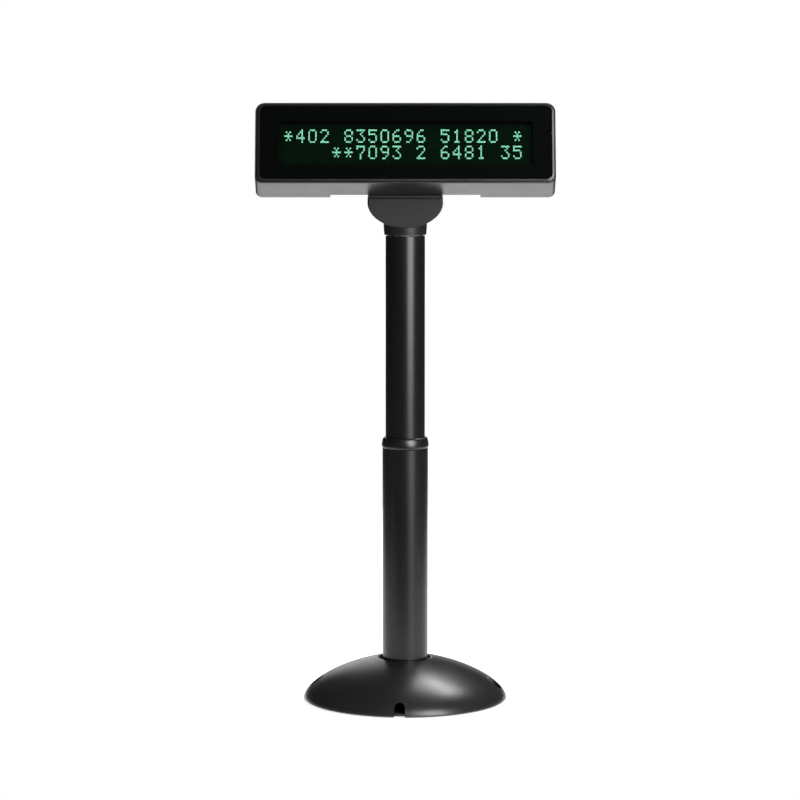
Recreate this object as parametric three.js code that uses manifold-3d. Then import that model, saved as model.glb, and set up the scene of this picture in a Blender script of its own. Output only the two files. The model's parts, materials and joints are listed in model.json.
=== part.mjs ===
// Customer pole display: domed base, telescopic pole, swivelling neck and tilting head.
// Millimetres. +Z is up, -Y is the front, +X is to the right seen from the front.
// The origin is on the pole's axis, at the level of the feet.
import * as THREE from 'three';
import { mergeVertices } from 'three/addons/utils/BufferGeometryUtils.js';
import Module from 'manifold-3d';

const wasm = await Module();
wasm.setup();

// ---------------------------------------------------------------- driving dimensions
const GAP = 0.3;               // between pieces that touch
const ROUND = 28;              // segments of the pole's round pieces
const FINE = 40;               // segments of the dome
const CURVE = 3;               // segments of each rounded corner
const SMALL = 8;               // segments of screws and small holes

// base
const DOME_RADIUS = 65.8;
const DOME_HEIGHT = 28.2;      // height of the dome's crown over its widest level
const DOME_EQUATOR = 1.9;      // level of the widest section
const DOME_POWER = 1.61;       // superellipse exponent of the dome's section
const DOME_WALL = 2.4;
const RIM_LEVEL = 1.0;
const BASE_TURN = -3.3;        // degrees that the dome is turned on its pole
const NOTCH_WIDTH = 6.8;
const NOTCH_TOP = 9.8;
const POCKET_AT = 57.6;        // radius of the counter-screw pockets
const POCKET_RADIAL = 9.8;
const POCKET_ACROSS = 13;
const POCKET_FLOOR = 4.6;
const COUNTER_HOLE = 2.3;      // radius
const PLATE_RADIUS = 61.4;
const PLATE_LOW = 1.2;
const PLATE_THICK = 1.6;
const FOOT_RADIUS = 6;
const FOOT_AT = 50;
const BOSS_AT = 50.5;
const BOSS_ANGLES = [90, 210, 330];
const FLANGE_LOW = PLATE_LOW + PLATE_THICK + GAP;
const SOCKET_BORE = 11.5;      // the pole socket: a flange with an upright cup
const SOCKET_FLANGE = 25.5;
const SOCKET_FLANGE_TOP = 5.2;
const SOCKET_WALL = 17.2;
const SOCKET_TOP = 21.5;
const SOCKET_SCREW_AT = 21.5;
const SOCKET_ANGLES = [30, 150, 270];
const WEIGHT_IN = 27.5;        // the iron ring has a low outer step under the dome's slope
const WEIGHT_STEP = 35.5;
const WEIGHT_OUT = 44.5;
const WEIGHT_STEP_TOP = 13.5;
const WEIGHT_TOP = 18;
const CABLE_HALF = 4;          // half width of the cable's way from the pole to the notch
const CABLE_LOW = 8.2;
const CABLE_HIGH = 16;

// pole
const LOWER_OUT = 14.6;
const LOWER_IN = 13.4;
const LOWER_FOOT = 6;
const LOWER_TOP = 164.2;
const LIP_TOP = 171.3;
const LIP_RADIUS = 15;
const UPPER_OUT = 12.6;
const UPPER_IN = 11.4;
const UPPER_TOP = 300.4;
const UPPER_FOOT = 131.5;
const BUSH_LENGTH = 13.5;
const GUIDE_LENGTH = 15;       // how far the guide bush reaches into the lower tube
const RING_LOW = 22;
const RING_TOP = 27.2;
const SWIVEL_SOCKET = 20;      // length of the socket that the neck's spigot turns in

// neck
const COLLAR_LOW = 301;
const COLLAR_LOW_RADIUS = 13.45;
const COLLAR_RADIUS = 13.9;
const SPIGOT_RADIUS = 8.9;
const SPIGOT_BORE = 6.3;
const FAN_HALF = 24;
const FAN_CENTRE = 322;
const FAN_DROP = 16.1;         // semi-axis below the widest level
const FAN_RISE = 30;           // semi-axis above it
const FAN_FRONT = -14.5;
const FAN_BACK = 14.5;
const FAN_TOP = 327;
const LEDGE_TOP = 324.9;       // the front lip that the head comes down on
const LEDGE_BACK = -12.8;
const NECK_SPLIT = 7.2;
const NECK_WALL = 2.6;
const COVER_LOW = 310;         // lower edge of the neck's rear cover
const NECK_SCREW_X = 15;
const NECK_SCREW_Z = 318;
const TONGUE_HALF = 9.7;
const KNUCKLE = 7;

// head
const TILT = 17.5;             // degrees that the head leans back at rest
const HEAD_WIDTH = 188;
const HEAD_HEIGHT = 52;
const HEAD_DEPTH = 35;
const LOW_CORNER = 4.2;        // radius of the head's lower corners, seen from the front
const TOP_CORNER = 5.8;
const HEAD_FLARE = 1 / 94;     // how much wider the housing is at its back, as a share
const HEAD_WALL = 2.3;
const HEAD_ORIGIN = [0, -43.9, 335.6];   // middle of the lower front edge
const BEZEL_DEPTH = 2;
const WINDOW_WIDTH = 182.8;
const WINDOW_HEIGHT = 47.6;
const WINDOW_MIDDLE = 26.2;    // height of the window's centre over the lower edge
const WINDOW_FRONT = 0.2;      // depth of the window's face behind the front
const WINDOW_BACK = 1.2;
const RECESS_WIDTH = 95.2;
const RECESS_FACE = 28.8;      // depth of the hinge recess's face behind the front
const RECESS_TOP = 43;
const HINGE_DEPTH = 40;        // the tilt axis in the head's own frame
const HINGE_HEIGHT = 19;
const PIN_RADIUS = 2.5;
const LUG_IN = 10.7;           // faces of the bracket's lugs beside the tongue
const LUG_OUT = 12.7;
const HINGE_SCREW_X = 20;
const HINGE_SCREW_Z = 24;
const SLEEVE_FRONT = 12.3;     // front end of the housing's screw sleeves
const VENT_COUNT = 7;
const VENT_PITCH = 14;
const VENT_LEVEL = 48;
const TUBE_MIDDLE = 26.1;      // height of the display tube's centre over the head's lower edge
const COLUMNS = 20;
const COLUMN_PITCH = 7.53;
const COMB_DROP = 19;          // the lead comb's distance below the tube's centre
const GLASS_HALF = 83;
const PCB_FRONT = 14.2;
const PCB_THICK = 1.6;
const POST_X = 87.3;
const POST_LEVELS = [6.4, 45.2];
const PCB_POST_X = 85.8;
const PCB_POST_LEVELS = [16, 36];

const rad = THREE.MathUtils.degToRad;

// ---------------------------------------------------------------- materials
function finish(color, roughness, metalness = 0, extra = {}) {
  return new THREE.MeshStandardMaterial({ color, roughness, metalness, ...extra });
}
const MATERIAL = {
  satinPlastic: finish(0x141516, 0.42),
  glossPlastic: finish(0x0d0e0f, 0.22),
  paintedTube: finish(0x101112, 0.28),
  steel: finish(0x9a9c9e, 0.35, 0.9),
  darkSteel: finish(0x3a3b3d, 0.5, 0.8),
  castIron: finish(0x3b3a38, 0.75, 0.6),
  rubber: finish(0x1a1a1a, 0.9),
  window: finish(0x06100d, 0.08, 0, { transparent: true, opacity: 0.6 }),
  glass: finish(0xbfd8cf, 0.05, 0, { transparent: true, opacity: 0.35 }),
  phosphor: finish(0x16301f, 0.8),
  circuitBoard: finish(0x14522f, 0.55),
  chip: finish(0x18191b, 0.6),
  ferrite: finish(0x2b2c2f, 0.7),
  capacitor: finish(0x20324a, 0.4),
  connector: finish(0xe6e2d2, 0.5),
  foam: finish(0x2d2d30, 0.95),
  nylon: finish(0xd9d6cc, 0.5),
};

// ---------------------------------------------------------------- solids
function solid(geometry) {
  const bare = geometry.index ? geometry.toNonIndexed() : geometry.clone();
  bare.deleteAttribute('normal');
  bare.deleteAttribute('uv');
  const merged = mergeVertices(bare, 1e-4);
  const corners = merged.index.array;
  const kept = [];
  for (let i = 0; i < corners.length; i += 3) {
    const [a, b, c] = corners.slice(i, i + 3);
    if (a !== b && b !== c && c !== a) kept.push(a, b, c);
  }
  const vertProperties = new Float32Array(merged.attributes.position.array);
  const triVerts = new Uint32Array(kept);
  return new wasm.Manifold(new wasm.Mesh({ numProp: 3, vertProperties, triVerts }));
}

function geometryOf(manifold) {
  const mesh = manifold.getMesh();
  const geometry = new THREE.BufferGeometry();
  geometry.setAttribute('position', new THREE.BufferAttribute(mesh.vertProperties, 3));
  geometry.setIndex(new THREE.BufferAttribute(mesh.triVerts, 1));
  return geometry;
}

function union(...parts) {
  return parts.reduce((sum, part) => sum.add(part));
}

function box(x0, x1, y0, y1, z0, z1) {
  const geometry = new THREE.BoxGeometry(x1 - x0, y1 - y0, z1 - z0);
  geometry.translate((x0 + x1) / 2, (y0 + y1) / 2, (z0 + z1) / 2);
  return solid(geometry);
}

// A body of revolution about Z from [radius, level] points that close on themselves.
function turned(points, segments = ROUND) {
  const profile = points.map(([r, z]) => new THREE.Vector2(r, z));
  if (points[0][0] > 0 || points.at(-1)[0] > 0) profile.push(profile[0].clone());
  const geometry = new THREE.LatheGeometry(profile, segments);
  geometry.rotateX(Math.PI / 2);
  return solid(geometry);
}

function tube(outer, inner, z0, z1, segments = ROUND) {
  return turned([[inner, z0], [outer, z0], [outer, z1], [inner, z1]], segments);
}

function rod(radius, z0, z1, segments = SMALL) {
  return turned([[0, z0], [radius, z0], [radius, z1], [0, z1]], segments);
}

// A flat outline in X and Z, extruded from y0 to y1, with an optional bevel at both ends.
// flare is how much wider it is at y1, as a share.
function slab(shape, y0, y1, bevel = 0, flare = 0) {
  const geometry = new THREE.ExtrudeGeometry(shape, {
    depth: y1 - y0 - 2 * bevel,
    bevelEnabled: bevel > 0,
    bevelThickness: bevel,
    bevelSize: bevel,
    bevelOffset: -bevel,
    bevelSegments: 1,
    curveSegments: CURVE,
  });
  geometry.translate(0, 0, bevel);
  geometry.rotateX(Math.PI / 2);
  geometry.translate(0, y1, 0);
  const place = geometry.attributes.position;
  for (let i = 0; i < place.count; i += 1) {
    const share = (place.getY(i) - y0) / (y1 - y0);
    place.setX(i, place.getX(i) * (1 + flare * share));
  }
  return solid(geometry);
}

function roundedRectangle(width, height, corner, middleX, middleZ, topCorner = corner) {
  const x = middleX - width / 2;
  const z = middleZ - height / 2;
  const shape = new THREE.Shape();
  shape.absarc(x + width - corner, z + corner, corner, -Math.PI / 2, 0);
  shape.absarc(x + width - topCorner, z + height - topCorner, topCorner, 0, Math.PI / 2);
  shape.absarc(x + topCorner, z + height - topCorner, topCorner, Math.PI / 2, Math.PI);
  shape.absarc(x + corner, z + corner, corner, Math.PI, 1.5 * Math.PI);
  return shape;
}

function panel(width, height, corner, middleZ, y0, y1, bevel = 0) {
  return slab(roundedRectangle(width, height, corner, 0, middleZ), y0, y1, bevel);
}

function moved(part, x, y, z) {
  return part.translate([x, y, z]);
}

// A rod or tube made along Z is laid along Y, its foot at y = 0.
function alongY(part) {
  return part.rotate([-90, 0, 0]);
}

function alongX(part) {
  return part.rotate([0, 90, 0]);
}

// A pan-head screw pointing down, with the underside of its head at level 0.
function screw(headRadius, headHeight, shankRadius, length) {
  return turned([
    [0, -length], [shankRadius, -length], [shankRadius, 0], [headRadius, 0],
    [headRadius, headHeight * 0.6], [headRadius * 0.7, headHeight], [0, headHeight],
  ], SMALL);
}

function polar(radius, degrees) {
  return [radius * Math.cos(rad(degrees)), radius * Math.sin(rad(degrees))];
}

const display = new THREE.Group();

function add(parent, name, part, material) {
  const mesh = new THREE.Mesh(geometryOf(part), material);
  mesh.name = name;
  parent.add(mesh);
}

// ---------------------------------------------------------------- base
function domeLevel(radius, inset = 0) {
  const share = Math.min(1, radius / (DOME_RADIUS - inset));
  const rise = (1 - share ** DOME_POWER) ** (1 / DOME_POWER);
  return DOME_EQUATOR + (DOME_HEIGHT - inset) * rise;
}

function domeCurve(inset, innermost, steps) {
  const widest = DOME_RADIUS - inset;
  const points = [];
  for (let i = 0; i <= steps; i += 1) {
    const angle = (i / steps) * (Math.PI / 2);
    const radius = widest * Math.cos(angle) ** (2 / DOME_POWER);
    if (radius <= innermost + 0.5) break;
    points.push([radius, DOME_EQUATOR + (DOME_HEIGHT - inset) * Math.sin(angle) ** (2 / DOME_POWER)]);
  }
  points.push([innermost, domeLevel(innermost, inset)]);
  return points;
}

function baseCover() {
  const hole = LOWER_OUT + 1.5;
  const outer = domeCurve(0, hole + 1.4, 9);
  const inner = domeCurve(DOME_WALL, hole, 5).reverse();
  const rim = DOME_RADIUS - 0.9;
  const shell = turned([
    [rim - DOME_WALL + 0.3, RIM_LEVEL], [rim, RIM_LEVEL], ...outer,
    [hole + 0.4, outer.at(-1)[1] - 0.5], [hole, outer.at(-1)[1] - 1.4], ...inner,
  ], FINE);
  const dome = turned([
    [0, RIM_LEVEL], [rim, RIM_LEVEL], ...outer, [0, outer.at(-1)[1]],
  ], FINE);

  const pocketShape = (radial, across) => {
    const oval = new THREE.CylinderGeometry(1, 1, 40, 16);
    oval.rotateX(Math.PI / 2);
    oval.scale(radial / 2, across / 2, 1);
    return solid(oval);
  };
  const bosses = BOSS_ANGLES.map((angle) => {
    const [x, y] = polar(BOSS_AT, angle);
    return moved(rod(3.5, PLATE_LOW + PLATE_THICK + GAP, 20), x, y, 0);
  });
  const seats = [1, -1].map((side) => {
    const wall = pocketShape(POCKET_RADIAL + 3, POCKET_ACROSS + 3);
    return moved(wall, side * POCKET_AT, 0, PLATE_LOW + PLATE_THICK + GAP + 20);
  });
  let cover = union(shell, union(...bosses, ...seats).intersect(dome));

  for (const side of [1, -1]) {
    cover = cover.subtract(moved(pocketShape(POCKET_RADIAL, POCKET_ACROSS),
      side * POCKET_AT, 0, POCKET_FLOOR + 20));
    cover = cover.subtract(moved(rod(COUNTER_HOLE, -1, 10), side * POCKET_AT, 0, 0));
  }
  for (const angle of BOSS_ANGLES) {
    const [x, y] = polar(BOSS_AT, angle);
    cover = cover.subtract(moved(rod(1.5, 0, 10), x, y, 0));
  }
  const half = NOTCH_WIDTH / 2;
  const notch = new THREE.Shape();
  notch.moveTo(-half, 0);
  notch.lineTo(half, 0);
  notch.lineTo(half, NOTCH_TOP - half);
  notch.absarc(0, NOTCH_TOP - half, half, 0, Math.PI);
  return cover.subtract(slab(notch, -70, -48)).rotate([0, 0, BASE_TURN]);
}

function basePlate() {
  let plate = tube(PLATE_RADIUS, 8, PLATE_LOW, PLATE_LOW + PLATE_THICK, FINE);
  for (const angle of BOSS_ANGLES) {
    const [x, y] = polar(BOSS_AT, angle);
    plate = plate.subtract(moved(rod(1.8, 0, 5), x, y, 0));
  }
  for (const angle of SOCKET_ANGLES) {
    const [x, y] = polar(SOCKET_SCREW_AT, angle);
    plate = plate.subtract(moved(rod(1.4, 0, 5), x, y, 0));
  }
  for (const side of [1, -1]) {
    plate = plate.subtract(moved(rod(COUNTER_HOLE, 0, 5), side * POCKET_AT, 0, 0));
  }
  return plate.rotate([0, 0, BASE_TURN]);
}

// A straight channel towards the front, for the cable.
function cableWay(half, y0, y1, z0, z1) {
  return box(-half, half, y0, y1, z0, z1).rotate([0, 0, BASE_TURN]);
}

function baseWeight() {
  const ring = turned([
    [WEIGHT_IN, FLANGE_LOW], [WEIGHT_OUT, FLANGE_LOW], [WEIGHT_OUT, WEIGHT_STEP_TOP],
    [WEIGHT_STEP, WEIGHT_STEP_TOP], [WEIGHT_STEP, WEIGHT_TOP], [WEIGHT_IN, WEIGHT_TOP],
  ]);
  return ring.subtract(cableWay(CABLE_HALF + 0.5, -WEIGHT_OUT - 5, -WEIGHT_IN + 5, 0, CABLE_LOW + 2.3));
}

function poleSocket() {
  let socket = turned([
    [SOCKET_BORE, FLANGE_LOW], [SOCKET_FLANGE, FLANGE_LOW], [SOCKET_FLANGE, SOCKET_FLANGE_TOP],
    [SOCKET_WALL, SOCKET_FLANGE_TOP], [SOCKET_WALL, SOCKET_TOP], [LOWER_OUT + 0.1, SOCKET_TOP],
    [LOWER_OUT + 0.1, LOWER_FOOT - GAP], [SOCKET_BORE, LOWER_FOOT - GAP],
  ]);
  for (const angle of SOCKET_ANGLES) {
    const [x, y] = polar(SOCKET_SCREW_AT, angle + BASE_TURN);
    socket = socket.subtract(moved(rod(1.8, 0, 10), x, y, 0));
  }
  return socket.subtract(cableWay(CABLE_HALF, -30, 0, CABLE_LOW, CABLE_HIGH));
}

function lowerTube() {
  const pole = tube(LOWER_OUT, LOWER_IN, LOWER_FOOT, LOWER_TOP);
  return pole.subtract(cableWay(CABLE_HALF, -30, 0, CABLE_LOW, CABLE_HIGH));
}

function guideBush() {
  const inner = UPPER_OUT + 0.07;
  return turned([
    [inner, LOWER_TOP - GUIDE_LENGTH], [LOWER_IN - 0.07, LOWER_TOP - GUIDE_LENGTH],
    [LOWER_IN - 0.07, LOWER_TOP + 0.1],
    [LOWER_OUT, LOWER_TOP + 0.1], [LIP_RADIUS - 0.15, LOWER_TOP + 1], [LIP_RADIUS, LIP_TOP - 4.6],
    [LIP_RADIUS - 0.35, LIP_TOP - 2.4], [LIP_RADIUS - 1, LIP_TOP - 1], [LIP_RADIUS - 1.8, LIP_TOP - 0.2],
    [inner + 0.1, LIP_TOP], [inner, LIP_TOP - 0.5],
  ]);
}

function buildBase(group) {
  add(group, 'base_cover', baseCover(), MATERIAL.satinPlastic);
  add(group, 'base_plate', basePlate(), MATERIAL.darkSteel);
  add(group, 'base_weight', baseWeight(), MATERIAL.castIron);
  for (let i = 0; i < 4; i += 1) {
    const [x, y] = polar(FOOT_AT, 45 + 90 * i);
    add(group, `foot_pad_${i + 1}`, moved(rod(FOOT_RADIUS, 0, PLATE_LOW, 24), x, y, 0), MATERIAL.rubber);
  }
  BOSS_ANGLES.forEach((angle, i) => {
    const [x, y] = polar(BOSS_AT, angle);
    const fixing = screw(1.75, 0.5, 1.3, 6).rotate([180, 0, 0]);
    const placed = moved(fixing, x, y, PLATE_LOW + 0.4).rotate([0, 0, BASE_TURN]);
    add(group, `plate_screw_${i + 1}`, placed, MATERIAL.steel);
  });
  add(group, 'pole_socket', poleSocket(), MATERIAL.darkSteel);
  SOCKET_ANGLES.forEach((angle, i) => {
    const [x, y] = polar(SOCKET_SCREW_AT, angle);
    const placed = moved(screw(3, 2, 1.3, 3.4), x, y, 5.3).rotate([0, 0, BASE_TURN]);
    add(group, `socket_screw_${i + 1}`, placed, MATERIAL.steel);
  });
  add(group, 'pole_ring', tube(LOWER_OUT + 1.2, LOWER_OUT + 0.15, RING_LOW, RING_TOP), MATERIAL.rubber);
  add(group, 'lower_tube', lowerTube(), MATERIAL.paintedTube);
  add(group, 'guide_bush', guideBush(), MATERIAL.glossPlastic);
}

// ---------------------------------------------------------------- mast
function buildMast(group) {
  add(group, 'upper_tube', tube(UPPER_OUT, UPPER_IN, UPPER_FOOT, UPPER_TOP), MATERIAL.paintedTube);
  const bush = tube(LOWER_IN - 0.07, UPPER_OUT + 0.07, UPPER_FOOT, UPPER_FOOT + BUSH_LENGTH);
  add(group, 'slide_bush', bush, MATERIAL.nylon);
  const insert = tube(UPPER_IN - 0.06, SPIGOT_RADIUS + 0.12, UPPER_TOP - SWIVEL_SOCKET, UPPER_TOP - 0.1);
  add(group, 'swivel_socket', insert, MATERIAL.nylon);
}

// ---------------------------------------------------------------- neck
// The D-shaped outline: a half ellipse below its widest level, a flatter one above it.
function fanShape(inset) {
  const steps = 22;
  const above = Math.asin((FAN_TOP + 3 - FAN_CENTRE) / FAN_RISE);
  const points = [];
  for (let i = 0; i <= steps; i += 1) {
    const angle = Math.PI - above + (i / steps) * (Math.PI + 2 * above);
    const semiAxis = Math.sin(angle) > 0 ? FAN_RISE : FAN_DROP - inset;
    const x = (FAN_HALF - inset) * Math.cos(angle);
    points.push(new THREE.Vector2(x, FAN_CENTRE + semiAxis * Math.sin(angle)));
  }
  return new THREE.Shape(points);
}

function hingePoint() {
  const t = rad(TILT);
  return [
    HEAD_ORIGIN[1] + HINGE_DEPTH * Math.cos(t) + HINGE_HEIGHT * Math.sin(t),
    HEAD_ORIGIN[2] - HINGE_DEPTH * Math.sin(t) + HINGE_HEIGHT * Math.cos(t),
  ];
}
const [AXIS_Y, AXIS_Z] = hingePoint();

function tongue() {
  const shape = new THREE.Shape();
  shape.moveTo(-KNUCKLE, FAN_TOP - 6);
  shape.lineTo(KNUCKLE, FAN_TOP - 6);
  shape.lineTo(KNUCKLE, AXIS_Z);
  shape.absarc(0, AXIS_Z, KNUCKLE, 0, Math.PI);
  const geometry = new THREE.ExtrudeGeometry(shape, {
    depth: 2 * TONGUE_HALF, bevelEnabled: false, curveSegments: 6,
  });
  geometry.rotateX(Math.PI / 2);
  geometry.rotateZ(Math.PI / 2);
  geometry.translate(-TONGUE_HALF, AXIS_Y, 0);
  return solid(geometry);
}

function neckShell() {
  const fan = slab(fanShape(0), FAN_FRONT, FAN_BACK, 0.8);
  const trim = box(-30, 30, -20, 20, FAN_TOP, FAN_TOP + 20);
  const lip = box(-30, 30, -20, LEDGE_BACK, LEDGE_TOP, FAN_TOP + 1);
  const rearBay = box(-30, 30, NECK_SPLIT, 20, COVER_LOW - GAP, FAN_TOP + 20);
  const cavity = slab(fanShape(NECK_WALL), FAN_FRONT + NECK_WALL, NECK_SPLIT + 1)
    .subtract(box(-30, 30, -20, 20, FAN_TOP - NECK_WALL, FAN_TOP + 20));
  const bosses = [1, -1].map((side) => {
    const post = alongY(rod(3, FAN_FRONT + 1, NECK_SPLIT));
    return moved(post, side * NECK_SCREW_X, 0, NECK_SCREW_Z);
  });
  const holes = [1, -1].map((side) => {
    const hole = alongY(rod(1.4, NECK_SPLIT - 10, NECK_SPLIT + 1));
    return moved(hole, side * NECK_SCREW_X, 0, NECK_SCREW_Z);
  });
  const collar = turned([
    [0, COLLAR_LOW], [COLLAR_LOW_RADIUS - 0.4, COLLAR_LOW], [COLLAR_LOW_RADIUS, COLLAR_LOW + 0.5],
    [COLLAR_RADIUS, COLLAR_LOW + 7], [COLLAR_RADIUS, COLLAR_LOW + 8.5], [0, COLLAR_LOW + 8.5],
  ]);
  const pinHole = moved(alongX(rod(PIN_RADIUS + 0.1, -15, 15, 24)), 0, AXIS_Y, AXIS_Z);
  const cableHole = alongY(rod(3.6, -12, 0));
  const shell = fan.subtract(trim).subtract(lip).subtract(rearBay).subtract(cavity);
  return union(shell, ...bosses, collar, tongue())
    .subtract(union(...holes))
    .subtract(rod(SPIGOT_BORE, COLLAR_LOW - 1, COLLAR_LOW + 12, ROUND))
    .subtract(rod(SPIGOT_RADIUS + 0.2, COLLAR_LOW - 1, COLLAR_LOW + 5, ROUND))
    .subtract(moved(cableHole, 0, 0, FAN_TOP + 3.6))
    .subtract(box(-4, 4, -3.5, 3.5, FAN_TOP - 8, FAN_TOP + 4))
    .subtract(pinHole);
}

function neckRearCover() {
  const fan = slab(fanShape(0), FAN_FRONT, FAN_BACK, 0.8);
  const keep = box(-30, 30, NECK_SPLIT + GAP, 20, COVER_LOW, FAN_TOP);
  const cavity = slab(fanShape(NECK_WALL), 0, FAN_BACK - NECK_WALL)
    .intersect(box(-30, 30, 0, 20, COVER_LOW + NECK_WALL, FAN_TOP - NECK_WALL));
  let cover = fan.intersect(keep).subtract(cavity);
  for (const side of [1, -1]) {
    const place = (part) => moved(alongY(part), side * NECK_SCREW_X, 0, NECK_SCREW_Z);
    cover = cover.add(place(rod(3.4, NECK_SPLIT + GAP, FAN_BACK - 1)))
      .subtract(place(rod(1.7, 0, 20)))
      .subtract(place(rod(2.8, FAN_BACK - 3.5, 20)));
  }
  return cover;
}

function retainingClip() {
  const open = rad(28);
  const shape = new THREE.Shape();
  shape.absarc(0, 0, 10.3, open - Math.PI / 2, 1.5 * Math.PI - open, false);
  shape.absarc(0, 0, 8.2, 1.5 * Math.PI - open, open - Math.PI / 2, true);
  const geometry = new THREE.ExtrudeGeometry(shape, { depth: 1, bevelEnabled: false, curveSegments: 10 });
  geometry.translate(0, 0, UPPER_TOP - SWIVEL_SOCKET - 2);
  return solid(geometry);
}

function swivelSpigot() {
  const clipLevel = UPPER_TOP - SWIVEL_SOCKET - 2;
  return turned([
    [SPIGOT_BORE, clipLevel - 3], [SPIGOT_RADIUS, clipLevel - 3], [SPIGOT_RADIUS, clipLevel - 0.3],
    [8, clipLevel - 0.3], [8, clipLevel + 1.3], [SPIGOT_RADIUS, clipLevel + 1.3],
    [SPIGOT_RADIUS, COLLAR_LOW + 4.7], [SPIGOT_BORE, COLLAR_LOW + 4.7],
  ]);
}

function buildNeck(group) {
  add(group, 'neck_shell', neckShell(), MATERIAL.satinPlastic);
  add(group, 'neck_rear_cover', neckRearCover(), MATERIAL.satinPlastic);
  [1, -1].forEach((side, i) => {
    const fixing = screw(2.6, 1.8, 1.2, 10).rotate([-90, 0, 0]);
    const placed = moved(fixing, side * NECK_SCREW_X, FAN_BACK - 3.4, NECK_SCREW_Z);
    add(group, `neck_screw_${i + 1}`, placed, MATERIAL.steel);
  });
  add(group, 'swivel_spigot', swivelSpigot(), MATERIAL.nylon);
  add(group, 'retaining_clip', retainingClip(), MATERIAL.steel);
}

// ---------------------------------------------------------------- head (own frame: x, depth, height)
function eachCorner(x, levels) {
  return [-x, x].flatMap((at) => levels.map((level) => [at, level]));
}

function headShape() {
  return roundedRectangle(HEAD_WIDTH, HEAD_HEIGHT, LOW_CORNER, 0, HEAD_HEIGHT / 2, TOP_CORNER);
}

function frontBezel() {
  const face = slab(headShape(), 0, BEZEL_DEPTH, 0.8);
  const skirt = panel(183, 47, 3, HEAD_HEIGHT / 2, BEZEL_DEPTH - 0.5, 6);
  const pocket = panel(WINDOW_WIDTH, WINDOW_HEIGHT, 4, WINDOW_MIDDLE, -1, WINDOW_BACK + GAP);
  const opening = panel(175, 40, 3, WINDOW_MIDDLE, -1, 10);
  const posts = eachCorner(POST_X, POST_LEVELS).map(([x, z]) => moved(alongY(rod(3.2, 4, 12)), x, 0, z));
  const pcbPosts = eachCorner(PCB_POST_X, PCB_POST_LEVELS).map(
    ([x, z]) => moved(alongY(rod(2.4, 4, PCB_FRONT - 0.1)), x, 0, z));
  const pilots = eachCorner(POST_X, POST_LEVELS).map(([x, z]) => moved(alongY(rod(1.4, 5, 13)), x, 0, z));
  const pcbPilots = eachCorner(PCB_POST_X, PCB_POST_LEVELS).map(
    ([x, z]) => moved(alongY(rod(1.1, 8, 15)), x, 0, z));
  return union(face, skirt).subtract(pocket).subtract(opening)
    .add(union(...posts, ...pcbPosts))
    .subtract(union(...pilots, ...pcbPilots));
}

function rearHousing() {
  const front = BEZEL_DEPTH + 0.25;
  const middle = HEAD_HEIGHT / 2;
  const outer = slab(headShape(), front - 3, HEAD_DEPTH, 0.6, HEAD_FLARE)
    .subtract(box(-100, 100, -10, front, -5, 60));
  const inside = HEAD_HEIGHT - 2 * HEAD_WALL;
  const cavity = panel(HEAD_WIDTH - 2 * HEAD_WALL, inside, 3, middle, front - 1, HEAD_DEPTH - HEAD_WALL);
  const half = RECESS_WIDTH / 2;
  const recess = box(-half, half, RECESS_FACE, 40, -1, RECESS_TOP);
  const behind = box(-half - 2, half + 2, RECESS_FACE - HEAD_WALL, 40, -1, RECESS_TOP + 2);
  const sleeves = eachCorner(POST_X, POST_LEVELS).map(
    ([x, z]) => moved(alongY(rod(3.9, SLEEVE_FRONT, HEAD_DEPTH - 1)), x, 0, z));
  const well = turned([[0, 5], [1.7, 5], [1.7, 15], [2.9, 15], [2.9, 40], [0, 40]], SMALL);
  const wells = eachCorner(POST_X, POST_LEVELS).map(([x, z]) => moved(alongY(well), x, 0, z));
  const hingeHoles = [1, -1].map(
    (side) => moved(alongY(rod(1.3, 20, 40)), side * HINGE_SCREW_X, 0, HINGE_SCREW_Z));
  const cableSlot = slab(roundedRectangle(13, 7, 3.4, 0, 7.5), 20, 40);
  const vents = [];
  for (let i = 0; i < VENT_COUNT; i += 1) {
    const x = (i - (VENT_COUNT - 1) / 2) * VENT_PITCH;
    vents.push(slab(roundedRectangle(10, 1.6, 0.7, x, VENT_LEVEL), 30, 40));
  }
  return outer.subtract(cavity.subtract(behind)).subtract(recess)
    .add(union(...sleeves).intersect(outer))
    .subtract(union(...wells, ...hingeHoles, cableSlot, ...vents));
}

function hingeBracket() {
  const face = RECESS_FACE + GAP;
  const plate = slab(roundedRectangle(52, 24, 3, 0, 25), face, face + 1.6);
  const lug = new THREE.Shape();
  lug.moveTo(face + 1, HINGE_HEIGHT - KNUCKLE);
  lug.lineTo(HINGE_DEPTH, HINGE_HEIGHT - KNUCKLE);
  lug.absarc(HINGE_DEPTH, HINGE_HEIGHT, KNUCKLE, -Math.PI / 2, Math.PI / 2);
  lug.lineTo(face + 1, HINGE_HEIGHT + KNUCKLE + 5);
  const lugs = [LUG_IN, -LUG_OUT].map((x) => {
    const geometry = new THREE.ExtrudeGeometry(lug, {
      depth: LUG_OUT - LUG_IN, bevelEnabled: false, curveSegments: 6,
    });
    geometry.rotateX(Math.PI / 2);
    geometry.rotateZ(Math.PI / 2);
    geometry.translate(x, 0, 0);
    return solid(geometry);
  });
  const bore = moved(alongX(rod(PIN_RADIUS + 0.1, -20, 20, 24)), 0, HINGE_DEPTH, HINGE_HEIGHT);
  let bracket = union(plate, ...lugs).subtract(bore);
  for (const side of [1, -1]) {
    bracket = bracket.subtract(moved(alongY(rod(1.8, 20, 40)), side * HINGE_SCREW_X, 0, HINGE_SCREW_Z));
  }
  return bracket;
}

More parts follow.
